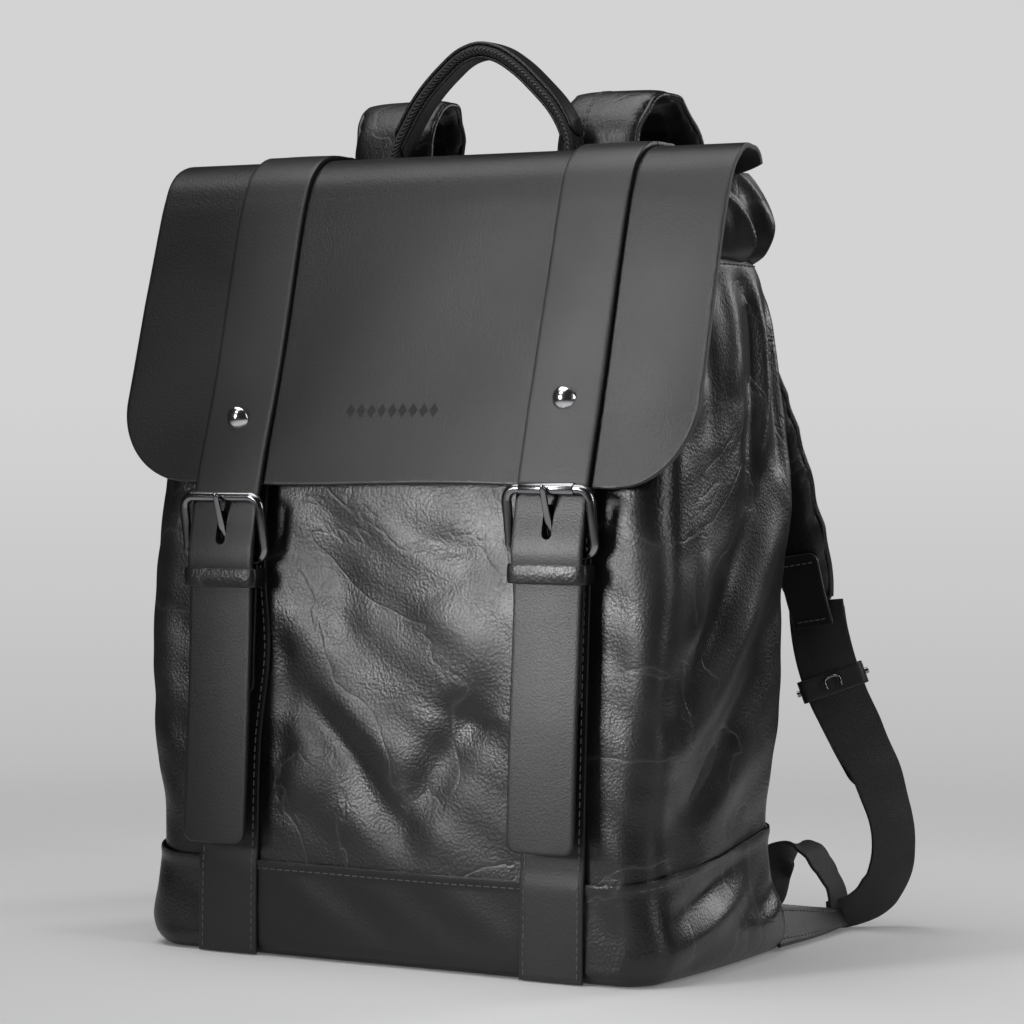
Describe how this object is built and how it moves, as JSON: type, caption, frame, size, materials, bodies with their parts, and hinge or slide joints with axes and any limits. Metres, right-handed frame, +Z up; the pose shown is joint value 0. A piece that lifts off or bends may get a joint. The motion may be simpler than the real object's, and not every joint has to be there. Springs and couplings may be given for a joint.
{
  "type": "leather backpack",
  "caption": "Upright leather backpack with a buckled front flap, roller buckles, strap tails, a top handle and padded shoulder straps.",
  "frame": {"origin": "centre of the base, on the floor", "axes": "+Z up, -Y towards the front flap, +X to the right as seen from the front"},
  "size_m": [0.3664, 0.2807, 0.4821],
  "materials": {
    "body_leather": "glossy oiled black leather with creases",
    "flap_leather": "smooth matte black leather",
    "strap_leather": "smooth matte black leather",
    "lining": "plain woven lining",
    "webbing": "black woven webbing",
    "pad_leather": "black padded leather",
    "mesh_fabric": "black spacer mesh",
    "board": "matte stiffener board",
    "gunmetal": "polished gunmetal",
    "rivet_metal": "polished nickel"
  },
  "bodies": {
    "bag": {"front_panel": "body_leather", "side_left": "body_leather", "side_right": "body_leather", "back_panel": "body_leather", "back_pads": "mesh_fabric", "base_panel": "body_leather", "base_stiffener": "board", "base_band_front": "flap_leather", "base_band_left": "body_leather", "base_band_right": "body_leather", "body_strap_left": "strap_leather", "body_strap_right": "strap_leather", "collar_front": "body_leather", "collar_back": "body_leather", "collar_left": "body_leather", "collar_right": "body_leather", "laptop_divider": "lining", "divider_strap": "strap_leather", "slip_pocket": "lining", "zip_tapes": "webbing", "zip_teeth": "gunmetal", "zip_slider": "gunmetal", "snap_sockets": "gunmetal", "flap_root": "flap_leather", "handle_patches": "strap_leather", "bottom_tab_left": "strap_leather", "bottom_tab_right": "strap_leather", "slack_loop_left": "webbing", "slack_loop_right": "webbing"},
    "zip_pull": {"zip_puller": "gunmetal"},
    "flap_upper": {"flap_top": "flap_leather", "strap_top_left": "strap_leather", "strap_top_right": "strap_leather"},
    "flap_lower": {"flap_front": "flap_leather", "strap_front_left": "strap_leather", "strap_front_right": "strap_leather", "rivets": "rivet_metal", "chape_left": "strap_leather", "chape_right": "strap_leather", "buckle_frame_left": "gunmetal", "buckle_frame_right": "gunmetal", "snap_studs": "gunmetal", "keeper_left": "strap_leather", "keeper_right": "strap_leather"},
    "left_roller": {"roller_left": "gunmetal"},
    "right_roller": {"roller_right": "gunmetal"},
    "left_prong": {"prong_left": "gunmetal"},
    "right_prong": {"prong_right": "gunmetal"},
    "left_tail": {"tail_left": "strap_leather"},
    "right_tail": {"tail_right": "strap_leather"},
    "handle": {"handle_webbing": "webbing", "handle_strip": "strap_leather"},
    "left_shoulder_strap": {"shoulder_pad_left": "pad_leather", "pad_tab_left": "strap_leather", "strap_webbing_left": "webbing"},
    "right_shoulder_strap": {"shoulder_pad_right": "pad_leather", "pad_tab_right": "strap_leather", "strap_webbing_right": "webbing"},
    "left_adjuster": {"adjuster_left": "gunmetal"},
    "right_adjuster": {"adjuster_right": "gunmetal"}
  },
  "joints": [
    {"name": "flap_lift", "type": "hinge", "parent": "bag", "child": "flap_upper", "pos_m": [0, 0.0018, 0.4194], "axis": [-1, 0, 0], "range_deg": [0, 75]},
    {"name": "flap_unfold", "type": "hinge", "parent": "flap_upper", "child": "flap_lower", "pos_m": [0, -0.0359, 0.4041], "axis": [-1, 0, 0], "range_deg": [0, 65]},
    {"name": "zip_pull_swing", "type": "hinge", "parent": "bag", "child": "zip_pull", "pos_m": [-0.134, 0.0002, 0.399], "axis": [1, 0, 0], "range_deg": [-35, 0]},
    {"name": "handle_tip", "type": "hinge", "parent": "bag", "child": "handle", "pos_m": [0, 0.0044, 0.4172], "axis": [-1, 0, 0], "range_deg": [-65, 0]},
    {"name": "left_roller_spin", "type": "hinge", "parent": "flap_lower", "child": "left_roller", "pos_m": [-0.097, -0.08931, 0.2385], "axis": [1, 0, 0], "continuous": true},
    {"name": "left_prong_lift", "type": "hinge", "parent": "flap_lower", "child": "left_prong", "pos_m": [-0.097, -0.08391, 0.206], "axis": [1, 0, 0], "range_deg": [0, 7]},
    {"name": "left_tail_swing", "type": "hinge", "parent": "flap_lower", "child": "left_tail", "pos_m": [-0.097, -0.09331, 0.1913], "axis": [-1, 0, 0], "range_deg": [0, 50]},
    {"name": "left_strap_swing", "type": "hinge", "parent": "bag", "child": "left_shoulder_strap", "pos_m": [-0.064, 0.026, 0.411], "axis": [-0.1906, 0.2789, -0.9412], "range_deg": [-6, 6]},
    {"name": "left_adjuster_slide", "type": "slide", "parent": "left_shoulder_strap", "child": "left_adjuster", "axis": [0.2267, -0.1039, 0.9684], "range_m": [0, 0.008]},
    {"name": "right_roller_spin", "type": "hinge", "parent": "flap_lower", "child": "right_roller", "pos_m": [0.097, -0.0876, 0.2445], "axis": [1, 0, 0], "continuous": true},
    {"name": "right_prong_lift", "type": "hinge", "parent": "flap_lower", "child": "right_prong", "pos_m": [0.097, -0.0822, 0.212], "axis": [1, 0, 0], "range_deg": [0, 7]},
    {"name": "right_tail_swing", "type": "hinge", "parent": "flap_lower", "child": "right_tail", "pos_m": [0.097, -0.0916, 0.1973], "axis": [-1, 0, 0], "range_deg": [0, 50]},
    {"name": "right_strap_swing", "type": "hinge", "parent": "bag", "child": "right_shoulder_strap", "pos_m": [0.064, 0.026, 0.411], "axis": [0.1906, 0.2789, -0.9412], "range_deg": [-6, 6]},
    {"name": "right_adjuster_slide", "type": "slide", "parent": "right_shoulder_strap", "child": "right_adjuster", "axis": [-0.2267, -0.1039, 0.9684], "range_m": [0, 0.008]}
  ]
}
